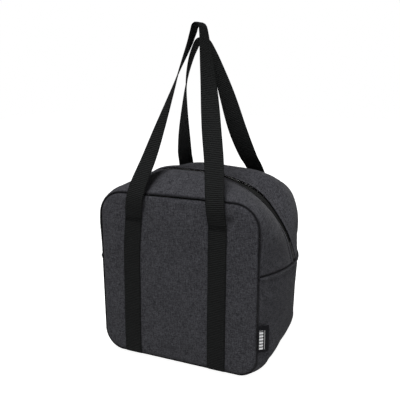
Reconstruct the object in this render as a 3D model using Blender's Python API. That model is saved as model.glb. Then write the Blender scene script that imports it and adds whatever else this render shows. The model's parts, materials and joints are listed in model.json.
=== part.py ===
"""Insulated cooler bag.

A soft canvas box, 225 mm wide between its side seams and 160 mm deep, with a foam core and a foil
liner, a zip over its top and two webbing handles.  Front is -Y, the right side is +X, up is +Z, and
the origin is at the centre of the base, on the surface the bag stands on.

The walls are lofts: an outline in the XZ plane at the front and back panels (the seam outline)
grows into a fuller outline halfway through the depth (the ridge outline).  Every layer of the wall
is the same loft, moved inward by its own depth.
"""
import math

import bmesh
import bpy
from mathutils import Matrix, Vector

# Driving dimensions, in metres.
PANEL_WIDTH = 0.225
PANEL_BOTTOM = 0.006
PANEL_TOP = 0.234
PANEL_TOP_RADIUS = 0.0324
PANEL_BOTTOM_RADIUS = 0.0266
BAG_DEPTH = 0.160
SPLIT_HEIGHT = 0.147          # the side seams, where the mouth starts to open
RIDGE_HALF_WIDTH = 0.137      # half width of the bulging sides, at the side seams
RIDGE_TOP = 0.254             # highest point of the zipped top

# Lower part of the ridge outline: sides that fall almost straight, then a soft corner.
RIDGE_CORNER_TOP = (0.1315, 0.060)
RIDGE_CORNER_END = (0.092, 0.0)
RIDGE_CORNER_POWER = 1.8
BOTTOM_FLATNESS = 2.2         # how far the base is pressed flat by standing on it

# The padding of each top half stands up between its panel and the zip.
PILLOW_HEIGHT = 0.010
PILLOW_EDGE = 0.006           # no padding this close to the zip's middle line
PILLOW_LEAN = 0.8             # below 1 moves the crest towards the panel

# Layers of the wall, as depths below the outer surface.
GAP = 0.0003
CANVAS = (0.0, 0.0012)
FOAM = (0.0015, 0.0055)
LINER = (0.0058, 0.0066)
FOAM_PANEL_INSET = 0.006
SEAM_BINDING_INSET = (0.0110, 0.0170)
SEAM_BINDING_THICKNESS = 0.0025

# Zip.
ZIP_OPENING_HALF = 0.005      # the canvas stops this far from the zip's middle line
ZIP_TAPE_HALF = 0.014
ZIP_SLOT_HALF = 0.0009
ZIP_COIL_OUTER = 0.0028
ZIP_TAPE_LAYER = (0.0015, 0.0023)
ZIP_COIL_LAYER = (0.0002, 0.0012)
ZIP_FOAM_EDGE = 0.0145
ZIP_LINER_EDGE = 0.0130
ZIP_END_STEPS = 2             # outline steps at each side seam where the zip is sewn shut
ZIP_END_TAPE_HALF = 0.012
SLIDER_REST_ANGLE = 162.0     # degrees round the top arc, at the closed left end
SLIDER_LENGTH = 0.010
SLIDER_WIDTH = 0.0088
SLIDER_TOP_PLATE = (0.0004, 0.0016)       # heights above the ridge arc
SLIDER_BOTTOM_PLATE = (-0.0050, -0.0034)
SLIDER_WEB_HALF = 0.0005
BAIL_HALF_WIDTH = 0.0009
BAIL_HALF_SPAN = 0.0018
BAIL_POST = 0.0008
BAIL_TOP = (0.0044, 0.0052)
PULLER_PIN_HEIGHT = 0.0032
PULLER_REST_LEAN = 10.0       # degrees away from the bag, hanging
PULLER_LENGTH = 0.022
PULLER_WIDTH = 0.0050
PULLER_THICKNESS = 0.0012
PULLER_PLATE_START = 0.0038
PULLER_PIN = 0.0010
PULLER_EYE_HALF = 0.0013

# Webbing.
WEBBING_WIDTH = 0.025
WEBBING_THICKNESS = 0.0016
STRAP_X = 0.060
STRAP_FOOT = 0.0065
HANDLE_STITCH_HEIGHT = 0.203
BARTACK_HEIGHT = 0.003
BARTACK_THICKNESS = 0.0004
HANDLE_AXIS_Y = 0.0832
TOP_AXIS_Y = 0.0835
HANDLE_STATIONS = 56
TWIST_START = 0.1             # share of a leg that stays flat before it twists

# One leg of each handle, from its stitching to the middle of the loop: x, y, z.
FRONT_HANDLE_LEG = (
    (0.0600, -0.0811, 0.2033),
    (0.0583, -0.0828, 0.2270),
    (0.0555, -0.0797, 0.2450),
    (0.0470, -0.0630, 0.2800),
    (0.0375, -0.0480, 0.3180),
    (0.0268, -0.0300, 0.3640),
    (0.0200, -0.0200, 0.3920),
    (0.0112, -0.0070, 0.4240),
    (0.0072, -0.0015, 0.4410),
    (0.0048, 0.0000, 0.4485),
    (0.0000, 0.0000, 0.4515),
)
BACK_HANDLE_LEG = (
    (0.0600, 0.0811, 0.2033),
    (0.0592, 0.0834, 0.2270),
    (0.0570, 0.0800, 0.2440),
    (0.0500, 0.0600, 0.2720),
    (0.0410, 0.0390, 0.3100),
    (0.0315, 0.0220, 0.3560),
    (0.0245, 0.0140, 0.3840),
    (0.0160, 0.0105, 0.4080),
    (0.0090, 0.0100, 0.4230),
    (0.0050, 0.0100, 0.4300),
    (0.0000, 0.0100, 0.4325),
)

# Side label, sewn into the right front seam: where it leaves the seam, and its size.
LABEL_FOOT = (0.1136, -0.0796, 0.065)
LABEL_WIDTH = 0.015
LABEL_HEIGHT = 0.036
LABEL_THICKNESS = 0.0006
LABEL_ANGLE = 42.0            # degrees from +X towards the back

SIDE_STEPS = 5
CORNER_STEPS = 6
MIDDLE_STEPS = 3

# Derived sizes.
HALF_WIDTH = PANEL_WIDTH / 2
HALF_DEPTH = BAG_DEPTH / 2
GUSSET_END = HALF_DEPTH - CANVAS[1] - GAP
INNER_END = GUSSET_END - FOAM[1] + FOAM[0] - GAP
LINER_END = INNER_END - (LINER[1] - LINER[0])
RIDGE_CENTRE = ((RIDGE_TOP ** 2 - SPLIT_HEIGHT ** 2 - RIDGE_HALF_WIDTH ** 2)
                / (2 * (RIDGE_TOP - SPLIT_HEIGHT)))
RIDGE_RADIUS = RIDGE_TOP - RIDGE_CENTRE
LOWER_DEPTH_STATIONS = (-INNER_END, -0.070, -0.059, -0.040, -0.020, 0.0,
                        0.020, 0.040, 0.059, 0.070, INNER_END)
UPPER_DEPTH_STATIONS = (INNER_END, 0.070, 0.059, 0.040, 0.022)
ZIP_TAPE_STATIONS = (ZIP_TAPE_HALF, 0.010, PILLOW_EDGE, ZIP_COIL_OUTER, ZIP_SLOT_HALF)


def clear_scene():
    for old in list(bpy.data.objects):
        bpy.data.objects.remove(old, do_unlink=True)


def make_material(name, colour, roughness, metallic=0.0):
    made = bpy.data.materials.new(name)
    made.use_nodes = True
    shader = made.node_tree.nodes["Principled BSDF"]
    shader.inputs["Base Color"].default_value = (*colour, 1.0)
    shader.inputs["Roughness"].default_value = roughness
    shader.inputs["Metallic"].default_value = metallic
    return made


def make_axis(name, place, parent=None):
    """An empty on a joint's axis; the pieces that turn with it are its children."""
    axis = bpy.data.objects.new(name, None)
    bpy.context.collection.objects.link(axis)
    axis["world_place"] = place
    axis.location = Vector(place)
    if parent:
        axis.parent = parent
        axis.location -= Vector(parent["world_place"])
    return axis


def face_out(builder):
    bmesh.ops.recalc_face_normals(builder, faces=builder.faces)
    if builder.calc_volume(signed=True) < 0:
        bmesh.ops.reverse_faces(builder, faces=builder.faces)


def make_node(name, mesh_builder, look, axis=None):
    """Turn a bmesh in bag coordinates into one named piece, with its origin on its joint's axis."""
    face_out(mesh_builder)
    mesh = bpy.data.meshes.new(name)
    mesh_builder.to_mesh(mesh)
    mesh_builder.free()
    mesh.materials.append(look)
    piece = bpy.data.objects.new(name, mesh)
    bpy.context.collection.objects.link(piece)
    if axis:
        mesh.transform(Matrix.Translation(-Vector(axis["world_place"])))
        piece.parent = axis
    return piece


def arc_points(centre, radius, start, end, steps):
    """Points on an arc, without its first one; angles in degrees."""
    points = []
    for step in range(1, steps + 1):
        angle = math.radians(start + (end - start) * step / steps)
        points.append((centre[0] + radius * math.cos(angle), centre[1] + radius * math.sin(angle)))
    return points


def line_points(first, last, steps):
    """Evenly spaced points from first to last, without the first one."""
    return [(first[0] + (last[0] - first[0]) * step / steps,
             first[1] + (last[1] - first[1]) * step / steps) for step in range(1, steps + 1)]


def seam_half(upper):
    """Right half of the panel's edge, from the side seam to the middle of the top or the bottom."""
    edge = PANEL_TOP if upper else PANEL_BOTTOM
    radius = PANEL_TOP_RADIUS if upper else PANEL_BOTTOM_RADIUS
    way = 1 if upper else -1
    corner = (HALF_WIDTH - radius, edge - way * radius)
    start = (HALF_WIDTH, SPLIT_HEIGHT + way * GAP / 2)
    points = [start]
    points += line_points(start, (HALF_WIDTH, corner[1]), SIDE_STEPS)
    points += arc_points(corner, radius, 0, way * 90, CORNER_STEPS)
    points += line_points((corner[0], edge), (0.0, edge), MIDDLE_STEPS)
    return points


def ridge_half_lower():
    """Right half of the full outline at mid depth, from the side seam down to the base."""
    start = (RIDGE_HALF_WIDTH, SPLIT_HEIGHT - GAP / 2)
    points = [start]
    points += line_points(start, RIDGE_CORNER_TOP, SIDE_STEPS)
    across = RIDGE_CORNER_TOP[0] - RIDGE_CORNER_END[0]
    down = RIDGE_CORNER_TOP[1] - RIDGE_CORNER_END[1]
    for step in range(1, CORNER_STEPS + 1):
        angle = math.pi / 2 * step / CORNER_STEPS
        points.append((RIDGE_CORNER_END[0] + across * max(math.cos(angle), 0.0) ** (2 / RIDGE_CORNER_POWER),
                       RIDGE_CORNER_TOP[1] - down * math.sin(angle) ** (2 / RIDGE_CORNER_POWER)))
    points += line_points(RIDGE_CORNER_END, (0.0, 0.0), MIDDLE_STEPS)
    return points


def ridge_half_upper():
    """Right half of the zip's arc, spaced like the seam outline below it."""
    seam = seam_half(True)
    lengths = [0.0]
    for first, last in zip(seam, seam[1:]):
        lengths.append(lengths[-1] + math.dist(first, last))
    start = math.asin((SPLIT_HEIGHT + GAP / 2 - RIDGE_CENTRE) / RIDGE_RADIUS)
    points = []
    for length in lengths:
        angle = start + (math.pi / 2 - start) * length / lengths[-1]
        points.append((RIDGE_RADIUS * math.cos(angle), RIDGE_CENTRE + RIDGE_RADIUS * math.sin(angle)))
    return points


def mirrored(half):
    """A whole outline, right end to left end, from its right half."""
    return half + [(-x, z) for x, z in reversed(half[:-1])]


def bulge(y, ridge_z):
    """How far the wall has grown from seam to ridge at this depth; the base is pressed flat."""
    round_part = 1 - (y / HALF_DEPTH) ** 2
    flat_part = min(1.0, round_part * BOTTOM_FLATNESS)
    pressed = min(1.0, max(0.0, 1 - ridge_z / RIDGE_CORNER_TOP[1]))
    return round_part + (flat_part - round_part) * pressed


def pillow(y):
    """How far the padding swells a top half at this depth into the bag."""
    across = min(1.0, (HALF_DEPTH - abs(y)) / (HALF_DEPTH - PILLOW_EDGE))
    return PILLOW_HEIGHT * math.sin(math.pi * across ** PILLOW_LEAN)


def inset_outline(points, depth, upper, swell=0.0):
    """Move an outline inward, less the swelling of its padding.

    Its two ends stay level with the side seams, where the padding has died away.
    """
    way = 1 if upper else -1
    moved = []
    last = len(points) - 1
    for index, (x, z) in enumerate(points):
        if index in (0, last):
            moved.append((x - math.copysign(depth, x), z))
            continue
        inward = depth - swell * min(1.0, index / SIDE_STEPS, (last - index) / SIDE_STEPS)
        before, after = points[index - 1], points[index + 1]
        along = Vector((after[0] - before[0], after[1] - before[1])).normalized()
        moved.append((x - way * along.y * inward, z + way * along.x * inward))
    return moved


def wall_section(y, depth, upper):
    """The wall's outline in the XZ plane at one depth into the bag, for one layer."""
    seam = mirrored(seam_half(upper))
    ridge = mirrored(ridge_half_upper() if upper else ridge_half_lower())
    section = []
    for (seam_x, seam_z), (ridge_x, ridge_z) in zip(seam, ridge):
        grown = bulge(y, ridge_z)
        section.append((seam_x + (ridge_x - seam_x) * grown, seam_z + (ridge_z - seam_z) * grown))
    return inset_outline(section, depth, upper, pillow(y) if upper else 0.0)


def add_ring(builder, section, y):
    return [builder.verts.new((x, y, z)) for x, z in section]


def bridge_open_rings(builder, rings):
    """Triangles between rings, always cut the same way, so that nested layers stay apart."""
    for ring, following in zip(rings, rings[1:]):
        for index in range(len(ring) - 1):
            builder.faces.new((ring[index], ring[index + 1], following[index + 1]))
            builder.faces.new((ring[index], following[index + 1], following[index]))


def loft_layer(layer, depths, upper, stretch=slice(None)):
    """One layer of the gusset, or a stretch of it: a sheet with thickness, open at both panels."""
    builder = bmesh.new()
    outer = [add_ring(builder, wall_section(y, layer[0], upper)[stretch], y) for y in depths]
    inner = [add_ring(builder, wall_section(y, layer[1], upper)[stretch], y) for y in depths]
    bridge_open_rings(builder, outer)
    bridge_open_rings(builder, inner)
    bridge_open_rings(builder, [outer[0], inner[0]])
    bridge_open_rings(builder, [outer[-1], inner[-1]])
    for end in (0, -1):
        for step in range(len(depths) - 1):
            builder.faces.new((outer[step][end], outer[step + 1][end],
                               inner[step + 1][end], inner[step][end]))
    return builder


def liner_shell(outer_depths, inner_depths, upper, closed_ends):
    """The liner: a gusset sheet whose panel ends are closed by walls."""
    builder = bmesh.new()
    outer = [add_ring(builder, wall_section(y, LINER[0], upper), y) for y in outer_depths]
    inner = [add_ring(builder, wall_section(y, LINER[1], upper), y) for y in inner_depths]
    bridge_open_rings(builder, outer)
    bridge_open_rings(builder, inner)
    for step in range(len(outer) - 1):
        for end in (0, -1):
            builder.faces.new((outer[step][end], outer[step + 1][end],
                               inner[step + 1][end], inner[step][end]))
    for end in (0, -1):
        if end in closed_ends:
            builder.faces.new(outer[end])
            builder.faces.new(inner[end])
            builder.faces.new((outer[end][0], outer[end][-1], inner[end][-1], inner[end][0]))
        else:
            bridge_open_rings(builder, [outer[end], inner[end]])
    return builder


def flat_panel(inset, y_range, upper):
    """A flat panel cut to the seam outline, moved inward by inset."""
    outline = inset_outline(mirrored(seam_half(upper)), inset, upper)
    builder = bmesh.new()
    near = add_ring(builder, outline, y_range[0])
    far = add_ring(builder, outline, y_range[1])
    builder.faces.new(near)
    builder.faces.new(far)
    bridge_open_rings(builder, [near, far])
    builder.faces.new((near[0], near[-1], far[-1], far[0]))
    return builder


def binding_strip(y_range, upper):
    """The tape that binds the raw seam edges inside the bag."""
    seam = mirrored(seam_half(upper))
    outer = inset_outline(seam, SEAM_BINDING_INSET[0], upper)
    inner = inset_outline(seam, SEAM_BINDING_INSET[1], upper)
    builder = bmesh.new()
    rings = [add_ring(builder, outline, y) for y in y_range for outline in (outer, inner)]
    near_outer, near_inner, far_outer, far_inner = rings
    bridge_open_rings(builder, [near_outer, near_inner, far_inner, far_outer, near_outer])
    for end in (0, -1):
        builder.faces.new((near_outer[end], near_inner[end], far_inner[end], far_outer[end]))
    return builder


def block(x_range, y_range, z_range):
    builder = bmesh.new()
    bmesh.ops.create_cube(builder, size=1.0)
    spans = (x_range, y_range, z_range)
    for corner in builder.verts:
        for axis, span in enumerate(spans):
            corner.co[axis] = max(span) if corner.co[axis] > 0 else min(span)
    return builder


def merge_blocks(blocks):
    """Join overlapping blocks into one closed body."""
    pieces = []
    for index, builder in enumerate(blocks):
        face_out(builder)
        mesh = bpy.data.meshes.new(f"block_{index}")
        builder.to_mesh(mesh)
        builder.free()
        piece = bpy.data.objects.new(mesh.name, mesh)
        bpy.context.collection.objects.link(piece)
        pieces.append(piece)
    base = pieces[0]
    for other in pieces[1:]:
        union = base.modifiers.new("union", "BOOLEAN")
        union.operation = "UNION"
        union.solver = "EXACT"
        union.object = other
    bpy.context.view_layer.update()
    joined = bmesh.new()
    joined.from_mesh(base.evaluated_get(bpy.context.evaluated_depsgraph_get()).to_mesh())
    for piece in pieces:
        bpy.data.objects.remove(piece, do_unlink=True)
    return joined


def smooth_path(points, stations):
    """Evenly spaced points on a smooth curve through the given ones."""
    knots = [Vector(point) for point in points]
    tangents = []
    for index, knot in enumerate(knots):
        before = knots[max(index - 1, 0)]
        after = knots[min(index + 1, len(knots) - 1)]
        tangents.append((after - before) / ((after - knot).length + (knot - before).length))
    fine = []
    for index in range(len(knots) - 1):
        first, last = knots[index], knots[index + 1]
        reach = (last - first).length
        for step in range(20):
            t = step / 20
            fine.append(first * (2 * t ** 3 - 3 * t ** 2 + 1) + tangents[index] * reach * (t ** 3 - 2 * t ** 2 + t)
                        + last * (3 * t ** 2 - 2 * t ** 3) + tangents[index + 1] * reach * (t ** 3 - t ** 2))
    fine.append(knots[-1])
    travelled = [0.0]
    for first, last in zip(fine, fine[1:]):
        travelled.append(travelled[-1] + (last - first).length)
    path = []
    segment = 0
    for station in range(stations + 1):
        goal = travelled[-1] * station / stations
        while segment < len(fine) - 2 and travelled[segment + 1] < goal:
            segment += 1
        share = (goal - travelled[segment]) / (travelled[segment + 1] - travelled[segment])
        path.append(fine[segment].lerp(fine[segment + 1], share))
    return path


def webbing_twist(share):
    """Turn of the webbing's width from +X towards the back, in radians, at a share of the leg."""
    turning = max(0.0, share - TWIST_START) / (1 - TWIST_START)
    return math.pi / 4 * (turning ** 1.2 + math.sin(math.pi / 2 * turning) ** 2)


def handle_loop(leg):
    """A flat strip of webbing that rises, twists a quarter turn and folds over at the top."""
    whole = list(leg) + [(-x, y, z) for x, y, z in reversed(leg[:-1])]
    path = smooth_path(whole, HANDLE_STATIONS)
    builder = bmesh.new()
    rings = []
    for index, place in enumerate(path):
        before = path[max(index - 1, 0)]
        after = path[min(index + 1, len(path) - 1)]
        along = (after - before).normalized()
        if index in (0, len(path) - 1):
            along = Vector((0, 0, 1 if index == 0 else -1))
        share = 1 - abs(1 - 2 * index / HANDLE_STATIONS)
        turn = webbing_twist(share)
        if index > HANDLE_STATIONS / 2:
            turn = math.pi - turn
        across = Vector((math.cos(turn), math.sin(turn), 0))
        across = (across - along * across.dot(along)).normalized()
        face = along.cross(across)
        corners = []
        for side, top in ((-1, -1), (1, -1), (1, 1), (-1, 1)):
            corners.append(builder.verts.new(place + across * side * WEBBING_WIDTH / 2
                                             + face * top * WEBBING_THICKNESS / 2))
        rings.append(corners)
    for ring, following in zip(rings, rings[1:]):
        for corner in range(4):
            other = (corner + 1) % 4
            builder.faces.new((ring[corner], ring[other], following[other], following[corner]))
    builder.faces.new(rings[0])
    builder.faces.new(rings[-1])
    return builder


def on_ridge(angle_degrees, height):
    """A point above the zip's arc, in the XZ plane at y = 0."""
    angle = math.radians(angle_degrees)
    reach = RIDGE_RADIUS + height
    return Vector((reach * math.cos(angle), 0.0, RIDGE_CENTRE + reach * math.sin(angle)))


def zip_slider():
    """Two plates joined by a web that runs in the slot, with a bail on top.

    Built with -X along the zip towards its closed end and Z out of the bag, then turned into place.
    """
    half = SLIDER_LENGTH / 2
    width = (-SLIDER_WIDTH / 2, SLIDER_WIDTH / 2)
    bail = (-BAIL_HALF_WIDTH, BAIL_HALF_WIDTH)
    outside = BAIL_HALF_SPAN + BAIL_POST
    sunk = 0.0003
    blocks = [
        block((-half, half), width, SLIDER_TOP_PLATE),
        block((-half, half), (width[0] * 0.9, width[1] * 0.9), SLIDER_BOTTOM_PLATE),
        block((half * 0.2, half * 0.9), (-SLIDER_WEB_HALF, SLIDER_WEB_HALF),
              (SLIDER_BOTTOM_PLATE[1] - sunk, SLIDER_TOP_PLATE[0] + sunk)),
        block((-outside, -BAIL_HALF_SPAN), bail, (SLIDER_TOP_PLATE[1] - sunk, BAIL_TOP[0] + sunk)),
        block((BAIL_HALF_SPAN, outside), bail, (SLIDER_TOP_PLATE[1] - sunk, BAIL_TOP[0] + sunk)),
        block((-outside, outside), bail, BAIL_TOP),
    ]
    builder = merge_blocks(blocks)
    turn = Matrix.Rotation(math.radians(90 - SLIDER_REST_ANGLE), 4, "Y")
    builder.transform(Matrix.Translation(on_ridge(SLIDER_REST_ANGLE, 0.0)) @ turn)
    return builder


def zip_puller():
    """A flat tab whose pin passes under the slider's bail; built hanging along -Z from its pin."""
    pin = PULLER_PIN / 2
    half_width = PULLER_WIDTH / 2
    half_thick = PULLER_THICKNESS / 2
    sunk = 0.0002
    blocks = [
        block((-half_thick, half_thick), (-half_width, half_width), (-PULLER_LENGTH, -PULLER_PLATE_START)),
        block((-pin, pin), (-half_width + sunk, half_width - sunk), (-pin, pin)),
        block((-half_thick, half_thick), (PULLER_EYE_HALF, half_width), (-PULLER_PLATE_START - sunk, pin + sunk)),
        block((-half_thick, half_thick), (-half_width, -PULLER_EYE_HALF), (-PULLER_PLATE_START - sunk, pin + sunk)),
    ]
    builder = merge_blocks(blocks)
    lean = Matrix.Rotation(math.radians(PULLER_REST_LEAN), 4, "Y")
    builder.transform(Matrix.Translation(on_ridge(SLIDER_REST_ANGLE, PULLER_PIN_HEIGHT)) @ lean)
    return builder


def side_label():
    builder = block((0.0, LABEL_WIDTH), (-LABEL_THICKNESS / 2, LABEL_THICKNESS / 2),
                    (-LABEL_HEIGHT / 2, LABEL_HEIGHT / 2))
    builder.transform(Matrix.Translation(LABEL_FOOT) @ Matrix.Rotation(math.radians(LABEL_ANGLE), 4, "Z"))
    return builder


def signed(side, first, last):
    """A depth range measured from the bag's middle, for the front (-1) or the back (+1)."""
    return (side * first, side * last)


def strap_y(side):
    return signed(side, HALF_DEPTH + GAP, HALF_DEPTH + GAP + WEBBING_THICKNESS)


def build_lower(looks):
    """Everything below the side seams, which stands still."""
    depths = LOWER_DEPTH_STATIONS
    make_node("gusset_lower", loft_layer(CANVAS, (-GUSSET_END, *depths, GUSSET_END), False), looks["canvas"])
    make_node("gusset_foam_lower", loft_layer(FOAM, depths, False), looks["foam"])
    liner_inner = tuple(max(-LINER_END, min(LINER_END, y)) for y in depths)
    make_node("liner_tub", liner_shell(depths, liner_inner, False, (0, -1)), looks["liner"])
    for side, name in ((-1, "front"), (1, "back")):
        make_node(f"{name}_panel_lower",
                  flat_panel(0.0, signed(side, HALF_DEPTH, HALF_DEPTH - CANVAS[1]), False),
                  looks["canvas"])
        make_node(f"{name}_foam_lower",
                  flat_panel(FOAM_PANEL_INSET, signed(side, GUSSET_END, INNER_END + GAP), False),
                  looks["foam"])
        make_node(f"{name}_seam_binding_lower",
                  binding_strip(signed(side, LINER_END - GAP, LINER_END - GAP - SEAM_BINDING_THICKNESS), False),
                  looks["binding"])
        for x, where in ((-STRAP_X, "left"), (STRAP_X, "right")):
            make_node(f"{name}_strap_{where}_lower",
                      block((x - WEBBING_WIDTH / 2, x + WEBBING_WIDTH / 2), strap_y(side),
                            (STRAP_FOOT, SPLIT_HEIGHT - GAP / 2)), looks["webbing"])
        build_zip_ends(side, name, looks)
    make_node("side_label", side_label(), looks["label"])


def build_zip_ends(side, name, looks):
    """One half of the zip's two short ends, which are sewn shut at the side seams and don't open."""
    ends = (("right", slice(0, ZIP_END_STEPS + 1)), ("left", slice(-ZIP_END_STEPS - 1, None)))
    tape_depths = [side * min(y, ZIP_END_TAPE_HALF) for y in ZIP_TAPE_STATIONS]
    for where, stretch in ends:
        make_node(f"{name}_zip_tape_end_{where}", loft_layer(ZIP_TAPE_LAYER, tape_depths, True, stretch),
                  looks["zip_tape"])
        make_node(f"{name}_zip_coil_end_{where}",
                  loft_layer(ZIP_COIL_LAYER, signed(side, ZIP_COIL_OUTER, ZIP_SLOT_HALF), True, stretch),
                  looks["zip_coil"])


def build_top(side, name, looks, axis):
    """The front (-1) or back (+1) half of everything above the side seams."""
    depths = [side * y for y in UPPER_DEPTH_STATIONS]
    liner_inner = [side * min(abs(y), LINER_END) for y in depths]
    canvas_depths = [side * GUSSET_END, *depths, side * ZIP_FOAM_EDGE, side * ZIP_OPENING_HALF]
    make_node(f"{name}_zip_gusset", loft_layer(CANVAS, canvas_depths, True), looks["canvas"], axis)
    make_node(f"{name}_gusset_foam", loft_layer(FOAM, depths + [side * ZIP_FOAM_EDGE], True),
              looks["foam"], axis)
    make_node(f"{name}_liner_upper",
              liner_shell(depths + [side * ZIP_LINER_EDGE], liner_inner + [side * ZIP_LINER_EDGE], True, (0,)),
              looks["liner"], axis)
    make_node(f"{name}_panel_upper",
              flat_panel(0.0, signed(side, HALF_DEPTH, HALF_DEPTH - CANVAS[1]), True),
              looks["canvas"], axis)
    make_node(f"{name}_foam_upper",
              flat_panel(FOAM_PANEL_INSET, signed(side, GUSSET_END, INNER_END + GAP), True),
              looks["foam"], axis)
    make_node(f"{name}_seam_binding_upper",
              binding_strip(signed(side, LINER_END - GAP, LINER_END - GAP - SEAM_BINDING_THICKNESS), True),
              looks["binding"], axis)
    opening = slice(ZIP_END_STEPS, -ZIP_END_STEPS)
    make_node(f"{name}_zip_tape",
              loft_layer(ZIP_TAPE_LAYER, [side * y for y in ZIP_TAPE_STATIONS], True, opening),
              looks["zip_tape"], axis)
    make_node(f"{name}_zip_coil",
              loft_layer(ZIP_COIL_LAYER, signed(side, ZIP_COIL_OUTER, ZIP_SLOT_HALF), True, opening),
              looks["zip_coil"], axis)
    tack_y = HALF_DEPTH + GAP + WEBBING_THICKNESS + GAP
    for x, where in ((-STRAP_X, "left"), (STRAP_X, "right")):
        across = (x - WEBBING_WIDTH / 2, x + WEBBING_WIDTH / 2)
        make_node(f"{name}_strap_{where}_upper",
                  block(across, strap_y(side), (SPLIT_HEIGHT + GAP / 2, HANDLE_STITCH_HEIGHT - GAP / 2)),
                  looks["webbing"], axis)
        make_node(f"{name}_bartack_{where}",
                  block(across, signed(side, tack_y, tack_y + BARTACK_THICKNESS),
                        (HANDLE_STITCH_HEIGHT - 2 * BARTACK_HEIGHT, HANDLE_STITCH_HEIGHT - BARTACK_HEIGHT)),
                  looks["thread"], axis)


def make_looks():
    return {
        "canvas": make_material("canvas", (0.040, 0.040, 0.044), 0.92),
        "foam": make_material("foam", (0.80, 0.80, 0.78), 0.85),
        "liner": make_material("liner", (0.72, 0.73, 0.75), 0.32, 0.7),
        "binding": make_material("binding", (0.015, 0.015, 0.016), 0.85),
        "webbing": make_material("webbing", (0.010, 0.011, 0.011), 0.80),
        "zip_tape": make_material("zip_tape", (0.012, 0.012, 0.013), 0.80),
        "zip_coil": make_material("zip_coil", (0.010, 0.010, 0.010), 0.45),
        "zip_metal": make_material("zip_metal", (0.020, 0.020, 0.021), 0.35, 0.9),
        "label": make_material("label", (0.012, 0.012, 0.013), 0.60),
        "thread": make_material("thread", (0.010, 0.010, 0.011), 0.70),
    }


def main():
    clear_scene()
    looks = make_looks()
    build_lower(looks)
    for side, name, leg in ((-1, "front", FRONT_HANDLE_LEG), (1, "back", BACK_HANDLE_LEG)):
        top_axis = make_axis(f"{name}_top_axis", (0.0, side * TOP_AXIS_Y, SPLIT_HEIGHT))
        build_top(side, name, looks, top_axis)
        handle_axis = make_axis(f"{name}_handle_axis", (0.0, side * HANDLE_AXIS_Y, HANDLE_STITCH_HEIGHT),
                                top_axis)
        make_node(f"{name}_handle", handle_loop(leg), looks["webbing"], handle_axis)
    slider_axis = make_axis("slider_axis", (0.0, 0.0, RIDGE_CENTRE))
    make_node("zip_slider", zip_slider(), looks["zip_metal"], slider_axis)
    puller_axis = make_axis("puller_axis", tuple(on_ridge(SLIDER_REST_ANGLE, PULLER_PIN_HEIGHT)), slider_axis)
    make_node("zip_puller", zip_puller(), looks["zip_metal"], puller_axis)


main()
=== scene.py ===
import json
import math

import bpy
import numpy as np
from mathutils import Matrix, Vector, noise


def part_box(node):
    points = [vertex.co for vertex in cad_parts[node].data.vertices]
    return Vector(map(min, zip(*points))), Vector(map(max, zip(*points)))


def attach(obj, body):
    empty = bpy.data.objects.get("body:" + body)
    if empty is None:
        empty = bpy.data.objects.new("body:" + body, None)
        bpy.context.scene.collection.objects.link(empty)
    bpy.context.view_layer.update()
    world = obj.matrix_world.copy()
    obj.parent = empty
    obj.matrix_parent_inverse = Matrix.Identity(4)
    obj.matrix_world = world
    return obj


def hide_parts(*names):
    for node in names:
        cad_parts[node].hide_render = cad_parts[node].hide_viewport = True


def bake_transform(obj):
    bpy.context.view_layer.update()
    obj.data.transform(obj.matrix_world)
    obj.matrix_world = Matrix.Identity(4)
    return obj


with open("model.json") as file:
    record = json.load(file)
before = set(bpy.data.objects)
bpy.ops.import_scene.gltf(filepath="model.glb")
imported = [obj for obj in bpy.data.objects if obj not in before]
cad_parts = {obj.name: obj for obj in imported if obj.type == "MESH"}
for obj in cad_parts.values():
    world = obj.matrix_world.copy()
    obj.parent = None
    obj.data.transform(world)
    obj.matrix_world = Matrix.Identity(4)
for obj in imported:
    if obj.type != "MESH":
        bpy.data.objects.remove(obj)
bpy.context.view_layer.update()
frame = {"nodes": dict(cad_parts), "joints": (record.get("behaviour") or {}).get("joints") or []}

# The looks of the insulated cooler bag.  Front is -Y, the right side +X, up +Z, metres.
JOINTS = {joint["name"]: joint for joint in frame["joints"]}

# Sizes read from the CAD frame.
PANEL_LOW, PANEL_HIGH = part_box("front_panel_lower")[0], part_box("front_panel_upper")[1]
HALF_WIDTH = PANEL_HIGH.x
PANEL_BOTTOM = PANEL_LOW.z
PANEL_TOP = PANEL_HIGH.z
HALF_DEPTH = -PANEL_LOW.y
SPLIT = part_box("liner_tub")[1].z + 0.00015
RIDGE_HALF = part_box("gusset_lower")[1].x
RIDGE_CENTRE = JOINTS["slider_travels"]["pos_m"][2]
RIDGE_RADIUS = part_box("front_zip_coil")[1].z + 0.0002 - RIDGE_CENTRE
STITCH_HEIGHT = JOINTS["front_handle_drops"]["pos_m"][2]
WEBBING_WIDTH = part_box("front_strap_right_lower")[1].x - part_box("front_strap_right_lower")[0].x
STRAP_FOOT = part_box("front_strap_right_lower")[0].z

TOP_RADIUS = 0.0324
BOTTOM_RADIUS = 0.0266
CORNER_TOP = (0.1315, 0.060)
CORNER_END = (0.092, 0.0)
CORNER_POWER = 1.8
BOTTOM_FLATNESS = 2.2
PILLOW_HEIGHT = 0.010
PILLOW_EDGE = 0.006

# Seams: both cloths dip into the seam and stand up again beside it.
SEAM_Y = 0.0768
PANEL_PUFF = 0.0038
PANEL_PUFF_REACH = 0.0021
SEAM_GROOVE = 0.0028
SEAM_ROLL = 0.0009
SEAM_ROLL_REACH = 0.0019
SEAM_ROLL_FADE = 0.030
PUCKER = 0.00028
PANEL_FACE = SEAM_Y + PANEL_PUFF
CANVAS_THICKNESS = 0.0009
ZIP_STITCH = 0.0125
WEBBING_THICKNESS = 0.0016
STANDING_GAP = 0.0002

# Cloth simulation: how much too large the cloth is cut, and the pressure that swells it.
CLOTH_SLACK = 0.012
CLOTH_PRESSURE = 4.0
CLOTH_FRAMES = 20

# A point well inside the bag, which its cloths swell away from.
BAG_MIDDLE = np.array((0.0, 0.0, 0.10))


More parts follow.
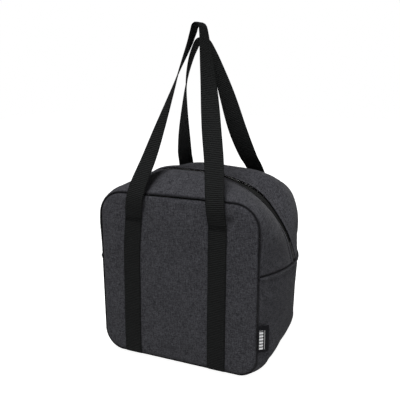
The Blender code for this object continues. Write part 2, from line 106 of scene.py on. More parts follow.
# ---------------------------------------------------------------- shapes

def smooth(t):
    """An even rise from 0 to 1, level at both ends."""
    t = np.clip(t, 0.0, 1.0)
    return t * t * (3 - 2 * t)


def resample(line, count):
    """count points along a polyline, evenly spaced."""
    line = np.array(line, float)
    along = np.concatenate([[0], np.cumsum(np.linalg.norm(np.diff(line, axis=0), axis=1))])
    at = np.linspace(0, along[-1], count)
    return np.stack([np.interp(at, along, line[:, k]) for k in range(line.shape[1])], axis=1)


def arc(centre, radius, start, end, steps=40):
    angles = np.radians(np.linspace(start, end, steps))
    return np.stack([centre[0] + radius * np.cos(angles), centre[1] + radius * np.sin(angles)], axis=1)


def side_spacing(count):
    """Which of 200 points down a side to keep: close together at the side seam, then even."""
    share = np.linspace(0, 1, count + 1)
    return np.round(199 * (0.25 * share + 0.75 * share ** 2.2)).astype(int)


def half_outlines(upper, counts):
    """Right halves of the seam and ridge outlines, side seam to middle, with as many points each."""
    way = 1 if upper else -1
    radius = TOP_RADIUS if upper else BOTTOM_RADIUS
    edge = PANEL_TOP if upper else PANEL_BOTTOM
    corner = (HALF_WIDTH - radius, edge - way * radius)
    side, turn, middle = counts
    seam = np.concatenate([
        resample([(HALF_WIDTH, SPLIT), (HALF_WIDTH, corner[1])], 200)[side_spacing(side)],
        resample(arc(corner, radius, 0, way * 90), turn + 1)[1:],
        resample([(corner[0], edge), (0.0, edge)], middle + 1)[1:]])
    if upper:
        along = np.concatenate([[0], np.cumsum(np.linalg.norm(np.diff(seam, axis=0), axis=1))])
        start = math.asin((SPLIT - RIDGE_CENTRE) / RIDGE_RADIUS)
        angle = start + (math.pi / 2 - start) * along / along[-1]
        ridge = np.stack([RIDGE_RADIUS * np.cos(angle), RIDGE_CENTRE + RIDGE_RADIUS * np.sin(angle)], axis=1)
        return seam, ridge
    angle = np.linspace(0, math.pi / 2, 200)
    bend = np.stack([
        CORNER_END[0] + (CORNER_TOP[0] - CORNER_END[0]) * np.maximum(np.cos(angle), 0) ** (2 / CORNER_POWER),
        CORNER_TOP[1] * (1 - np.sin(angle) ** (2 / CORNER_POWER))], axis=1)
    ridge = np.concatenate([
        resample([(RIDGE_HALF, SPLIT), CORNER_TOP], 200)[side_spacing(side)],
        resample(bend, turn + 1)[1:],
        resample([CORNER_END, (0.0, 0.0)], middle + 1)[1:]])
    return seam, ridge


def whole(half):
    """A whole outline from right to left, from its right half."""
    return np.concatenate([half, half[-2::-1] * [-1, 1]])


def outline_normals(points, upper):
    along = np.gradient(points, axis=0)
    along /= np.linalg.norm(along, axis=1)[:, None]
    way = 1 if upper else -1
    return np.stack([way * along[:, 1], -way * along[:, 0]], axis=1)


def seam_lift(y):
    """How far the side seam lies from the mouth's lowest point, along the side."""
    return -0.0030 - 0.0015 * (1 - (y / HALF_DEPTH) ** 2)


def left_lift(x, y):
    """The zip stands higher on the bag's left, above a soft crest."""
    reach = np.where(x < -0.078, 0.028, 0.045)
    return 0.0150 * np.exp(-((x + 0.078) / reach) ** 2) * smooth((0.034 - abs(y)) / 0.022)


def wall_section(y, upper, outlines, offset, with_pillow=True):
    """The gusset's outline at one depth, moved outward by offset (a number, or one for each point)."""
    seam, ridge = outlines
    round_part = 1 - (y / HALF_DEPTH) ** 2
    flat_part = min(1.0, round_part * BOTTOM_FLATNESS)
    pressed = np.clip(1 - ridge[:, 1] / CORNER_TOP[1], 0, 1)
    grown = (round_part + (flat_part - round_part) * pressed)[:, None]
    section = seam + (ridge - seam) * grown
    normal = outline_normals(section, upper)
    from_seam = abs(section[:, 1] - SPLIT)
    if upper:
        section[:, 1] += left_lift(section[:, 0], y)
        if with_pillow:
            across = min(1.0, (HALF_DEPTH - abs(y)) / (HALF_DEPTH - PILLOW_EDGE))
            swell = PILLOW_HEIGHT * math.sin(math.pi * across ** 0.8)
            offset = offset + swell * smooth(from_seam / 0.05)
    section = section + normal * np.broadcast_to(offset, len(section))[:, None]
    section[:, 1] += seam_lift(y) * (1 - smooth(from_seam / 0.035))
    if not upper:
        section[:, 1] = np.maximum(section[:, 1], STANDING_GAP)
    return section


def edge_roll(distance):
    """How the cloth dips into a seam and rolls out of it, at a distance from the seam."""
    rise = SEAM_ROLL * (1 - np.exp(-distance / SEAM_ROLL_REACH)) * np.exp(-distance / SEAM_ROLL_FADE)
    return rise - SEAM_GROOVE * np.exp(-distance / 0.0010)


def unevenness(points, size, scale, seed):
    """Smooth random heights at the points."""
    return np.array([size * noise.noise(Vector((p[0] / scale, p[1] / scale + seed, p[2] / scale)))
                     for p in points.reshape(-1, 3)]).reshape(points.shape[:-1])


def link_mesh(name, vertices, faces, look, uv=None):
    """A smooth mesh object, with texture coordinates in metres where uv gives them point by point."""
    mesh = bpy.data.meshes.new(name)
    mesh.from_pydata(vertices.tolist(), [], faces)
    if uv is not None:
        layer = mesh.uv_layers.new(name="metres")
        corner = np.zeros(len(mesh.loops), np.int32)
        mesh.loops.foreach_get("vertex_index", corner)
        layer.data.foreach_set("uv", uv.reshape(-1, 2)[corner].astype(np.float32).ravel())
    mesh.materials.append(look)
    mesh.polygons.foreach_set("use_smooth", [True] * len(mesh.polygons))
    made = bpy.data.objects.new(name, mesh)
    bpy.context.scene.collection.objects.link(made)
    return made


def grid_faces(points, outward):
    """Quads over a grid of points, facing away from the point outward."""
    rows, columns = points.shape[:2]
    index = np.arange(rows * columns).reshape(rows, columns)
    faces = np.stack([index[:-1, :-1], index[:-1, 1:], index[1:, 1:], index[1:, :-1]], axis=-1)
    faces = faces.reshape(-1, 4)
    a, b, c = (points.reshape(-1, 3)[faces[:, k]] for k in (0, 1, 2))
    middle = (a + c) / 2
    facing = (np.cross(b - a, c - b) * (middle - np.array(outward))).sum()
    return faces[:, ::-1] if facing < 0 else faces


def grid_lengths(points, axis):
    """How far each point of a grid lies along its row or column."""
    steps = np.linalg.norm(np.diff(points, axis=axis), axis=2)
    start = np.zeros_like(steps.take([0], axis))
    return np.concatenate([start, np.cumsum(steps, axis)], axis)


def grid_object(name, points, look, outward, uv=None, thickness=0.0, levels=0, painted_shade=None):
    """A cloth from a grid of points, with texture coordinates in metres, solidified inward."""
    if uv is None:
        over = grid_lengths(points, 1)
        middle = over[:, points.shape[1] // 2][:, None]
        uv = np.stack([over - middle, grid_lengths(points, 0)], axis=-1)
    faces = grid_faces(points, outward).tolist()
    made = link_mesh(name, points.reshape(-1, 3), faces, look, uv)
    # The attribute below carries painted shade: how far the look darkens each point toward near black.
    if painted_shade is not None:
        attribute = made.data.attributes.new("painted_shade", "FLOAT", "POINT")
        attribute.data.foreach_set("value", painted_shade.astype(np.float32).ravel())
    if levels:
        finer = made.modifiers.new("finer", "SUBSURF")
        finer.levels = finer.render_levels = levels
        finer.boundary_smooth = "PRESERVE_CORNERS"
    if thickness:
        wall = made.modifiers.new("wall", "SOLIDIFY")
        wall.thickness = thickness
        wall.offset = -1.0
    if levels or thickness:
        apply_modifiers(made)
    return made


def apply_modifiers(made):
    """The modifiers' result becomes the mesh, smooth all over."""
    final = bpy.data.meshes.new_from_object(made.evaluated_get(bpy.context.evaluated_depsgraph_get()))
    made.modifiers.clear()
    made.data = final
    final.polygons.foreach_set("use_smooth", [True] * len(final.polygons))


def add_cloth(made):
    """Cloth held by the vertex group held, cut a little large and lightly blown up."""
    cloth = made.modifiers.new("cloth", "CLOTH")
    cloth.collision_settings.use_collision = False
    settings = cloth.settings
    settings.quality = 6
    settings.mass = 0.25
    settings.effector_weights.gravity = 0.0
    settings.tension_stiffness = 20.0
    settings.compression_stiffness = 20.0
    settings.shear_stiffness = 8.0
    settings.bending_stiffness = 2.0
    settings.vertex_group_mass = "held"
    settings.pin_stiffness = 2.0
    settings.use_pressure = True
    settings.uniform_pressure_force = CLOTH_PRESSURE
    settings.shrink_min = -CLOTH_SLACK


def settle(points, free, outward, cap):
    """Cloth simulation of a grid whose points are free from 0, held, to 1; movement is capped."""
    rough = grid_object("settling", points, LOOKS["canvas"], outward)
    held = rough.vertex_groups.new(name="held")
    for index, share in enumerate((1 - free).ravel()):
        held.add([index], float(share), "REPLACE")
    add_cloth(rough)
    for frame_number in range(1, CLOTH_FRAMES + 1):
        bpy.context.scene.frame_set(frame_number)
    result = rough.evaluated_get(bpy.context.evaluated_depsgraph_get()).to_mesh()
    moved = np.zeros(len(result.vertices) * 3, np.float32)
    result.vertices.foreach_get("co", moved)
    bpy.context.scene.frame_set(1)
    bpy.data.objects.remove(rough, do_unlink=True)
    shift = moved.reshape(points.shape).astype(float) - points
    size = np.linalg.norm(shift, axis=2)[:, :, None]
    return points + shift * cap / (cap + size)


def bend_with(made):
    """The piece's placement is baked into its mesh."""
    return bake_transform(made)


# ---------------------------------------------------------------- looks

class Look:
    """A procedural material, made by naming its nodes' inputs."""

    def __init__(self, name, **settings):
        self.material = bpy.data.materials.new(name)
        self.material.use_nodes = True
        self.nodes = self.material.node_tree.nodes
        self.links = self.material.node_tree.links
        self.shader = self.nodes["Principled BSDF"]
        self.set(self.shader, **settings)
        self.place = self.nodes.new("ShaderNodeUVMap")
        self.place.uv_map = "metres"

    def set(self, node, **settings):
        for key, value in settings.items():
            socket = node.inputs[key.replace("_", " ").title().replace("Ior", "IOR")]
            if isinstance(value, bpy.types.NodeSocket):
                self.links.new(value, socket)
            else:
                socket.default_value = value

    def math(self, operation, first, second=0.0):
        node = self.nodes.new("ShaderNodeMath")
        node.operation = operation
        for socket, value in zip(node.inputs, (first, second)):
            if isinstance(value, bpy.types.NodeSocket):
                self.links.new(value, socket)
            else:
                socket.default_value = value
        return node.outputs[0]

    def object_place(self):
        return self.nodes.new("ShaderNodeTexCoord").outputs["Object"]

    def scaled(self, source, scale):
        node = self.nodes.new("ShaderNodeVectorMath")
        node.operation = "MULTIPLY"
        self.links.new(source, node.inputs[0])
        node.inputs[1].default_value = scale
        return node.outputs[0]

    def split(self, source):
        node = self.nodes.new("ShaderNodeSeparateXYZ")
        self.links.new(source, node.inputs[0])
        return node.outputs

    def noise(self, source, scale=1.0, detail=2.0, roughness=0.5):
        node = self.nodes.new("ShaderNodeTexNoise")
        self.links.new(source, node.inputs["Vector"])
        node.inputs["Scale"].default_value = scale
        node.inputs["Detail"].default_value = detail
        node.inputs["Roughness"].default_value = roughness
        return node.outputs["Fac"]

    def spread(self, value, low, high, out_low=0.0, out_high=1.0):
        node = self.nodes.new("ShaderNodeMapRange")
        self.links.new(value, node.inputs["Value"])
        limits = {"From Min": low, "From Max": high, "To Min": out_low, "To Max": out_high}
        for key, number in limits.items():
            node.inputs[key].default_value = number
        return node.outputs[0]

    def mix(self, share, first, second):
        node = self.nodes.new("ShaderNodeMix")
        node.data_type = "RGBA"
        for socket, value in ((node.inputs[0], share), (node.inputs[6], first), (node.inputs[7], second)):
            if isinstance(value, bpy.types.NodeSocket):
                self.links.new(value, socket)
            else:
                socket.default_value = value if isinstance(value, float) else (*value, 1.0)
        return node.outputs[2]

    def bump(self, height, distance, strength=1.0):
        node = self.nodes.new("ShaderNodeBump")
        self.links.new(height, node.inputs["Height"])
        node.inputs["Distance"].default_value = distance
        node.inputs["Strength"].default_value = strength
        self.links.new(node.outputs[0], self.shader.inputs["Normal"])


def cell_shade(look, across, along, width, length):
    """A random shade for each stretch of each yarn: yarns width apart, changing about every length."""
    lane = look.math("FLOOR", look.math("DIVIDE", across, width))
    shift = look.math("MULTIPLY", look.math("SINE", look.math("MULTIPLY", lane, 12.9898)), 43.758)
    joined = look.nodes.new("ShaderNodeCombineXYZ")
    look.links.new(look.math("MULTIPLY", lane, 7.31), joined.inputs[0])
    look.links.new(look.math("ADD", look.math("DIVIDE", along, length), shift), joined.inputs[1])
    return look.noise(joined.outputs[0], 1.0, 1.0)


def canvas_look(name, dark, light, yarn=0.00085):
    """Plain-weave heather canvas: dark and light fibres mixed in every yarn."""
    look = Look(name, roughness=0.92)
    look.set(look.shader, **{"Sheen Weight": 0.06, "Sheen Roughness": 0.5, "Specular IOR Level": 0.06})
    u, v, _ = look.split(look.place.outputs[0])
    weft = cell_shade(look, v, u, yarn, 0.0035)
    warp = cell_shade(look, u, v, yarn, 0.0035)
    wave_u = look.math("SINE", look.math("MULTIPLY", u, math.pi / yarn))
    wave_v = look.math("SINE", look.math("MULTIPLY", v, math.pi / yarn))
    over = look.spread(look.math("MULTIPLY", wave_u, wave_v), -0.25, 0.25)
    yarns = look.math("ADD", look.math("MULTIPLY", over, warp),
                      look.math("MULTIPLY", look.math("SUBTRACT", 1.0, over), weft))
    fibre = look.noise(look.scaled(look.place.outputs[0], (900.0, 900.0, 1.0)), 1.0, 2.0)
    cloud = look.noise(look.scaled(look.place.outputs[0], (55.0, 55.0, 1.0)), 1.0, 3.0)
    slub_u = look.noise(look.scaled(look.place.outputs[0], (110.0, 700.0, 1.0)), 1.0, 2.0)
    slub_v = look.noise(look.scaled(look.place.outputs[0], (700.0, 110.0, 1.0)), 1.0, 2.0)
    share = look.math("ADD", look.spread(yarns, 0.30, 0.70), look.spread(fibre, 0.3, 0.7, -0.25, 0.25))
    share = look.math("ADD", share, look.spread(look.math("ADD", slub_u, slub_v), 0.7, 1.3, -0.34, 0.34))
    share = look.math("ADD", share, look.spread(cloud, 0.3, 0.7, -0.07, 0.07))
    share = look.math("MAXIMUM", look.math("MINIMUM", share, 1.0), 0.0)
    # Painted shade: the attribute darkens the weave to near black in the seam crevices, under the folded
    # edge along the zip and in the dent beside the right front strap.
    painted_shade = look.nodes.new("ShaderNodeAttribute")
    painted_shade.attribute_name = "painted_shade"
    weave = look.mix(share, dark, light)
    look.set(look.shader, base_color=look.mix(painted_shade.outputs["Fac"], weave, (0.004, 0.004, 0.005)))
    crown = look.math("ADD", look.math("ABSOLUTE", wave_u), look.math("ABSOLUTE", wave_v))
    height = look.math("ADD", look.math("MULTIPLY", crown, 0.5), look.math("MULTIPLY", yarns, 0.6))
    look.bump(height, 0.00022, 0.8)
    return look.material


def webbing_look(name, dark, light, rib=0.0024):
    """Woven strap: ribs across it, split into columns, with smooth selvedges."""
    look = Look(name, roughness=0.62)
    look.set(look.shader, **{"Specular IOR Level": 0.08})
    u, v, _ = look.split(look.place.outputs[0])
    column = look.math("SINE", look.math("MULTIPLY", u, 2 * math.pi / 0.0021))
    shift = look.math("MULTIPLY", look.math("SIGN", column), rib * 0.05)
    ribs = look.math("SINE", look.math("MULTIPLY", look.math("ADD", v, shift), 2 * math.pi / rib))
    edge = look.spread(look.math("ABSOLUTE", u), WEBBING_WIDTH * 0.44, WEBBING_WIDTH * 0.47)
    fibre = look.noise(look.scaled(look.place.outputs[0], (1400.0, 500.0, 1.0)), 1.0, 2.0)
    share = look.math("ADD", look.spread(ribs, -1.0, 1.0, -0.05, 0.70),
                      look.spread(fibre, 0.3, 0.7, -0.25, 0.35))
    share = look.math("MULTIPLY", share, look.spread(edge, 0.0, 1.0, 1.0, 0.45))
    look.set(look.shader, base_color=look.mix(look.math("MAXIMUM", share, 0.0), dark, light))
    height = look.math("ADD", look.math("MULTIPLY", ribs, look.spread(edge, 0.0, 1.0, 0.5, 0.1)),
                       look.math("MULTIPLY", look.math("ABSOLUTE", column), 0.35))
    look.bump(height, 0.0005, 1.0)
    return look.material


def tape_look(name, dark, light, flat=True):
    """Fine herringbone tape, laid out flat as on a zip, or following the object as on a binding."""
    look = Look(name, roughness=0.8)
    look.set(look.shader, **{"Specular IOR Level": 0.08, "Sheen Weight": 0.02})
    place = look.place.outputs[0] if flat else look.object_place()
    u, v, up = look.split(place)
    if not flat:
        u, v = look.math("ADD", u, v), up
    zigzag = look.math("PINGPONG", v, 0.0022)
    twill = look.math("SINE", look.math("MULTIPLY", look.math("ADD", u, zigzag), 2 * math.pi / 0.0007))
    fibre = look.noise(look.scaled(place, (1200.0, 1200.0, 1200.0)), 1.0, 2.0)
    share = look.math("ADD", look.spread(twill, -1.0, 1.0, 0.1, 0.6),
                      look.spread(fibre, 0.3, 0.7, -0.2, 0.4))
    # Painted shade: the attribute darkens the tape to near black, the painted shadow of the folded canvas
    # edges beside the coil; bindings carry no such attribute.
    painted_shade = look.nodes.new("ShaderNodeAttribute")
    painted_shade.attribute_name = "painted_shade"
    weave = look.mix(look.math("MAXIMUM", share, 0.0), dark, light)
    look.set(look.shader, base_color=look.mix(painted_shade.outputs["Fac"], weave, (0.0006, 0.0006, 0.0007)))
    look.bump(twill, 0.00015, 0.7)
    return look.material


def foil_look():
    """Crinkled aluminium film."""
    look = Look("foil_liner", roughness=0.30, metallic=0.85)
    place = look.object_place()
    crinkle = look.noise(look.scaled(place, (90.0, 90.0, 90.0)), 1.0, 5.0, 0.6)
    facets = look.nodes.new("ShaderNodeTexVoronoi")
    look.links.new(look.scaled(place, (70.0, 70.0, 70.0)), facets.inputs["Vector"])
    look.set(look.shader, base_color=look.mix(look.spread(crinkle, 0.3, 0.7),
                                              (0.60, 0.61, 0.63), (0.78, 0.79, 0.80)))
    look.set(look.shader, roughness=look.spread(crinkle, 0.3, 0.7, 0.22, 0.42))
    look.bump(look.math("ADD", crinkle, look.math("MULTIPLY", facets.outputs["Distance"], 0.5)), 0.0012, 0.6)
    return look.material


def foam_look():
    """Closed-cell foam: small pits."""
    look = Look("foam_core", roughness=0.88)
    cells = look.nodes.new("ShaderNodeTexVoronoi")
    look.links.new(look.scaled(look.object_place(), (900.0, 900.0, 900.0)), cells.inputs["Vector"])
    look.set(look.shader, base_color=look.mix(look.spread(cells.outputs["Distance"], 0.0, 0.7),
                                              (0.62, 0.62, 0.60), (0.80, 0.80, 0.78)))
    look.bump(cells.outputs["Distance"], 0.0004, 0.7)
    return look.material


def metal_look():
    """Black lacquered zinc, slightly uneven."""
    look = Look("slider_lacquer", roughness=0.35, metallic=0.6)
    grain = look.noise(look.scaled(look.object_place(), (400.0, 400.0, 400.0)), 1.0, 3.0)
    look.set(look.shader, base_color=look.mix(grain, (0.012, 0.012, 0.013), (0.035, 0.035, 0.036)))
    look.set(look.shader, roughness=look.spread(grain, 0.3, 0.7, 0.28, 0.46))
    look.bump(grain, 0.0001, 0.5)
    return look.material


def coil_look():
    """Moulded black nylon."""
    look = Look("nylon_coil", roughness=0.42)
    place = look.object_place()
    grain = look.noise(look.scaled(place, (1500.0, 1500.0, 1500.0)), 1.0, 2.0)
    look.set(look.shader, base_color=look.mix(grain, (0.008, 0.008, 0.008), (0.022, 0.022, 0.023)))
    look.bump(grain, 0.0001, 0.5)
    return look.material


def thread_look():
    """Twisted sewing thread."""
    look = Look("thread", roughness=0.8)
    look.set(look.shader, **{"Specular IOR Level": 0.05})
    x, y, z = look.split(look.object_place())
    twist = look.math("SINE", look.math("MULTIPLY", look.math("ADD", look.math("ADD", x, y), z), 9000.0))
    look.set(look.shader, base_color=look.mix(look.spread(twist, -1, 1),
                                              (0.0006, 0.0006, 0.0007), (0.0040, 0.0040, 0.0042)))
    look.bump(twist, 0.0001, 0.6)
    return look.material


def label_look(height):
    """Satin-woven black label with a plain generic mark: a column of light bars and a rule."""
    look = Look("woven_label", roughness=0.6)
    look.set(look.shader, **{"Specular IOR Level": 0.12})
    u, v, _ = look.split(look.place.outputs[0])
    weave = look.math("SINE", look.math("MULTIPLY", look.math("ADD", u, v), 2 * math.pi / 0.0006))
    across = look.math("MULTIPLY", look.math("GREATER_THAN", u, -0.0058), look.math("LESS_THAN", u, -0.0008))
    bars = look.math("LESS_THAN", look.math("FRACT", look.math("DIVIDE", v, 0.0042)), 0.66)
    from_middle = look.math("ABSOLUTE", look.math("SUBTRACT", v, height * 0.47))
    inside = look.math("LESS_THAN", from_middle, height * 0.36)
    mark = look.math("MULTIPLY", look.math("MULTIPLY", across, bars), inside)
    rule = look.math("LESS_THAN", look.math("ABSOLUTE", look.math("SUBTRACT", u, 0.0012)), 0.00040)
    mark = look.math("MAXIMUM", mark, look.math("MULTIPLY", look.math("MULTIPLY", rule, inside), 0.55))
    ground = look.mix(look.spread(weave, -1, 1), (0.002, 0.002, 0.003), (0.006, 0.006, 0.008))
    light = look.mix(look.spread(weave, -1, 1), (0.55, 0.55, 0.56), (0.82, 0.82, 0.83))
    look.set(look.shader, base_color=look.mix(mark, ground, light))
    look.bump(look.math("ADD", weave, mark), 0.00015, 0.6)
    return look.material


LOOKS = {
    "canvas": canvas_look("heather_canvas", (0.0125, 0.0125, 0.0150), (0.054, 0.054, 0.061)),
    "webbing": webbing_look("black_webbing", (0.0007, 0.0008, 0.0008), (0.0170, 0.0182, 0.0182)),
    "zip_tape": tape_look("zip_tape", (0.0025, 0.0026, 0.0025), (0.0090, 0.0092, 0.0089)),
    "binding": tape_look("seam_binding", (0.008, 0.008, 0.009), (0.028, 0.028, 0.030), flat=False),
    "liner": foil_look(),
    "foam": foam_look(),
    "zip_metal": metal_look(),
    "zip_coil": coil_look(),
    "thread": thread_look(),
}


# ---------------------------------------------------------------- canvas

# Distances from a seam at which a gusset has a row of points, close together at the seam.
SEAM_STEPS = np.array([0.0, 0.0006, 0.0013, 0.0022, 0.0034, 0.0050, 0.0072, 0.0100, 0.0135, 0.0175,
                       0.0220, 0.0270, 0.0325, 0.0385, 0.0450, 0.0520, 0.0595, 0.0670])
# The same for the last rows of a top half, down its folded edge along the zip, as distances from it.
FOLD_STEPS = [0.0165, 0.0143, 0.0131, 0.0125, 0.0119, 0.0106, 0.0090, 0.0078, 0.0070]
# How the folded edge turns under: how far inward, and how far back from the zip.
TUCK = ((0.0003, -0.0005), (0.0010, -0.0007), (0.0017, -0.0003), (0.0021, 0.0010), (0.0022, 0.0050))
# How much painted shade darkens each tucked-under row: the shade under the folded edge along the zip.
TUCK_PAINTED_SHADE = (0.0, 0.5, 1.0, 1.0, 1.0)
# Where a gusset's first row lies, just inside the seam.
SEAM_INSET = 0.0012
# Points down the side, round the corner and along to the middle.
LOWER_COUNTS = (36, 18, 26)
UPPER_COUNTS = (26, 18, 28)


def gusset_row(y, upper, outlines, seed):
    """One row of the gusset's outer face, with its seam roll, puckers and the dip at the side seams."""
    seam = outlines[0]
    distance = HALF_DEPTH - abs(y)
    along = np.concatenate([[0], np.cumsum(np.linalg.norm(np.diff(seam, axis=0), axis=1))])
    pucker = np.array([noise.noise(Vector((a / 0.0045, 3.0 * seed, 0.0))) for a in along])
    from_side = abs(seam[:, 1] - SPLIT)
    dip = -0.0028 * np.exp(-from_side / 0.0011)
    lip = (0.0002 if upper else 0.0020) * np.exp(-((from_side - 0.0030) / 0.0026) ** 2)
    offset = edge_roll(distance) + PUCKER * pucker * math.exp(-distance / 0.006)
    offset = offset + (dip + lip) * min(1, distance / 0.004)
    section = wall_section(y, upper, outlines, offset)
    return np.stack([section[:, 0], np.full(len(section), y), section[:, 1]], axis=1)


def away_from_middle(points):
    """Directions from the middle of the bag to the points."""
    away = points - BAG_MIDDLE
    return away / np.linalg.norm(away, axis=-1)[..., None]


def soften(points, free, size, scale, seed):
    """Low uneven swelling, dying away at the seams."""
    return points + away_from_middle(points) * (unevenness(points, size, scale, seed) * free)[:, :, None]


def painted_seam_shade(steps, outlines):
    """How deep in a seam each point of a gusset grid lies, from 0 to 1: the share of painted shade that
    darkens it there.
    """
    from_seam = (HALF_DEPTH - SEAM_INSET - abs(steps))[:, None]
    from_side = abs(outlines[0][:, 1] - SPLIT)[None, :]
    return np.maximum(np.exp(-(from_seam / 0.0012) ** 2), np.exp(-(from_side / 0.0015) ** 2))


def lower_gusset():
    """The canvas round the sides and the bottom, from seam to seam."""
    outlines = tuple(whole(half) for half in half_outlines(False, LOWER_COUNTS))
    first = HALF_DEPTH - SEAM_INSET - SEAM_STEPS
    steps = np.concatenate([-first, [-0.006, 0.006], first[::-1]])
    points = np.stack([gusset_row(y, False, outlines, 1 if y < 0 else 2) for y in steps])
    fade = smooth((HALF_DEPTH - abs(steps)) / 0.02)[:, None] * smooth(points[:, :, 2] / 0.02)
    fade = fade * smooth((SPLIT - points[:, :, 2]) / 0.02)
    points = soften(points, fade, 0.0016, 0.055, 4.0)
    points = settle(points, fade, BAG_MIDDLE, 0.0030)
    points[:, :, 2] = np.maximum(points[:, :, 2], STANDING_GAP)
    # The cloth carries the painted shade of its seam crevices.
    made = grid_object("gusset_lower_cloth", points, LOOKS["canvas"], BAG_MIDDLE, thickness=CANVAS_THICKNESS,
                       levels=1, painted_shade=painted_seam_shade(steps, outlines))
    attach(made, "base")
    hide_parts("gusset_lower")


def shoulder_angle(points):
    """The angle of points round the zip's arc, in degrees from the right side."""
    return np.degrees(np.arctan2(points[..., 2] - RIDGE_CENTRE, points[..., 0]))


def back_edge_shift(points):
    """The back half's folded edge lies further back round the right shoulder, and shows more of the tape."""
    near_zip = smooth((0.050 - abs(points[..., 1])) / 0.040)
    return 0.0110 * np.exp(-((shoulder_angle(points) - 56) / 13) ** 2) * near_zip


def back_lift(points):
    """The back half stands a little higher round the right shoulder."""
    depth = abs(points[..., 1])
    between = smooth((0.076 - depth) / 0.03) * smooth((depth - 0.016) / 0.025)
    return 0.0050 * np.exp(-((shoulder_angle(points) - 58) / 18) ** 2) * between


def front_crest(points):
    """The front half's left shoulder swells to a soft crest, and sinks between it and the zip."""
    x, depth = points[..., 0], abs(points[..., 1])
    along = smooth((x + 0.105) / 0.03) * smooth((0.030 - x) / 0.06)
    crest = 0.0038 * np.exp(-((depth - 0.038) / 0.009) ** 2)
    hollow = 0.0068 * np.exp(-((depth - 0.021) / 0.009) ** 2)
    return (crest - hollow) * along * smooth((points[..., 2] - 0.19) / 0.03)


def move_back_half(points):
    """The back half's own unevenness, for its cloth and for the layers under it."""
    shift, lift = back_edge_shift(points), back_lift(points)
    points[..., 1] += shift
    points[..., 2] += lift


def tuck_under(points, side):
    """The folded edge turned under along the zip."""
    edge = points[-1]
    inward = -away_from_middle(edge)
    tucked = [edge + inward * drop + np.array((0, side * back, 0)) for drop, back in TUCK]
    return np.concatenate([points, np.stack(tucked)])


def upper_gusset(side, half):
    """One half of the top: from its panel's seam over the padding to the folded edge along the zip."""
    outlines = tuple(whole(half_outline) for half_outline in half_outlines(True, UPPER_COUNTS))
    steps = np.concatenate([(HALF_DEPTH - SEAM_INSET - SEAM_STEPS)[:-1], FOLD_STEPS])
    points = np.stack([gusset_row(side * y, True, outlines, 5 + side) for y in steps])
    groove = -0.0011 * np.exp(-((steps - ZIP_STITCH) / 0.0011) ** 2)
    hem = 0.0013 * smooth((0.0145 - steps) / 0.003)
    points = points + away_from_middle(points) * (groove + hem)[:, None, None]
    fade = smooth((HALF_DEPTH - steps) / 0.02)[:, None] * smooth((points[:, :, 2] - SPLIT) / 0.02)
    fade = fade * smooth((steps - 0.010) / 0.02)[:, None]
    outward = (0, side * 0.03, 0.10)
    points = soften(points, fade, 0.0022, 0.050, 9.0 + 3 * side)
    points = tuck_under(settle(points, fade, outward, 0.0035), side)
    if side > 0:
        move_back_half(points)
    else:
        points[:, :, 2] += front_crest(points)
    # Painted shade in the seam crevices and under the tucked-in folded edge.
    painted_shade = painted_seam_shade(steps, outlines)
    tucked = np.repeat(np.array(TUCK_PAINTED_SHADE)[:, None], painted_shade.shape[1], axis=1)
    made = grid_object(f"{half}_top_cloth", points, LOOKS["canvas"], outward, levels=1,
                       thickness=CANVAS_THICKNESS * 0.9, painted_shade=np.concatenate([painted_shade, tucked]))
    bend_with(made)
    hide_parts(f"{half}_zip_gusset")
    return points


def panel_edges():
    """The panel's outline as four curves between the middles of its corners, as (x, z)."""
    top, low = PANEL_TOP - TOP_RADIUS, PANEL_BOTTOM + BOTTOM_RADIUS
    right_top, right_low = (HALF_WIDTH - TOP_RADIUS, top), (HALF_WIDTH - BOTTOM_RADIUS, low)
    left_top, left_low = (-right_top[0], top), (-right_low[0], low)
    bottom = np.concatenate([arc(left_low, BOTTOM_RADIUS, 225, 270),
                             arc(right_low, BOTTOM_RADIUS, 270, 315)])
    right = np.concatenate([arc(right_low, BOTTOM_RADIUS, -45, 0), arc(right_top, TOP_RADIUS, 0, 45)])
    upper = np.concatenate([arc(left_top, TOP_RADIUS, 135, 90), arc(right_top, TOP_RADIUS, 90, 45)])
    left = np.concatenate([arc(left_low, BOTTOM_RADIUS, 225, 180), arc(left_top, TOP_RADIUS, 180, 135)])
    return bottom, right, upper, left


def edge_distance(x, z):
    """Distance inward from the panel's outline."""
    middle = (PANEL_TOP + PANEL_BOTTOM) / 2
    radius = np.where(z > middle, TOP_RADIUS, BOTTOM_RADIUS)
    over = abs(x) - HALF_WIDTH + radius
    above = abs(z - middle) - (PANEL_TOP - PANEL_BOTTOM) / 2 + radius
    outside = np.hypot(np.maximum(over, 0), np.maximum(above, 0)) + np.minimum(np.maximum(over, above), 0)
    return np.maximum(radius - outside, 0.0)


def panel_grid():
    """The panel's points as x and z: rows and columns follow its outline, close together at the seam."""
    fine = SEAM_STEPS[:10] / (2 * HALF_WIDTH)
    share = np.concatenate([fine, np.linspace(fine[-1], 1 - fine[-1], 52)[1:-1], 1 - fine[::-1]])
    count = 400
    even = np.linspace(0, 1, count)
    curves = []
    for edge in panel_edges():
        line = resample(edge, count)
        curves.append(np.stack([np.interp(share, even, line[:, k]) for k in (0, 1)], axis=1))
    bottom, right, upper, left = curves
    u, v = share[None, :, None], share[:, None, None]
    ruled = (1 - v) * bottom[None] + v * upper[None] + (1 - u) * left[:, None] + u * right[:, None]
    lower_corners = (1 - u) * (1 - v) * bottom[0] + u * (1 - v) * bottom[-1]
    upper_corners = (1 - u) * v * upper[0] + u * v * upper[-1]
    flat = ruled - (lower_corners + upper_corners)
    return flat[:, :, 0], flat[:, :, 1]


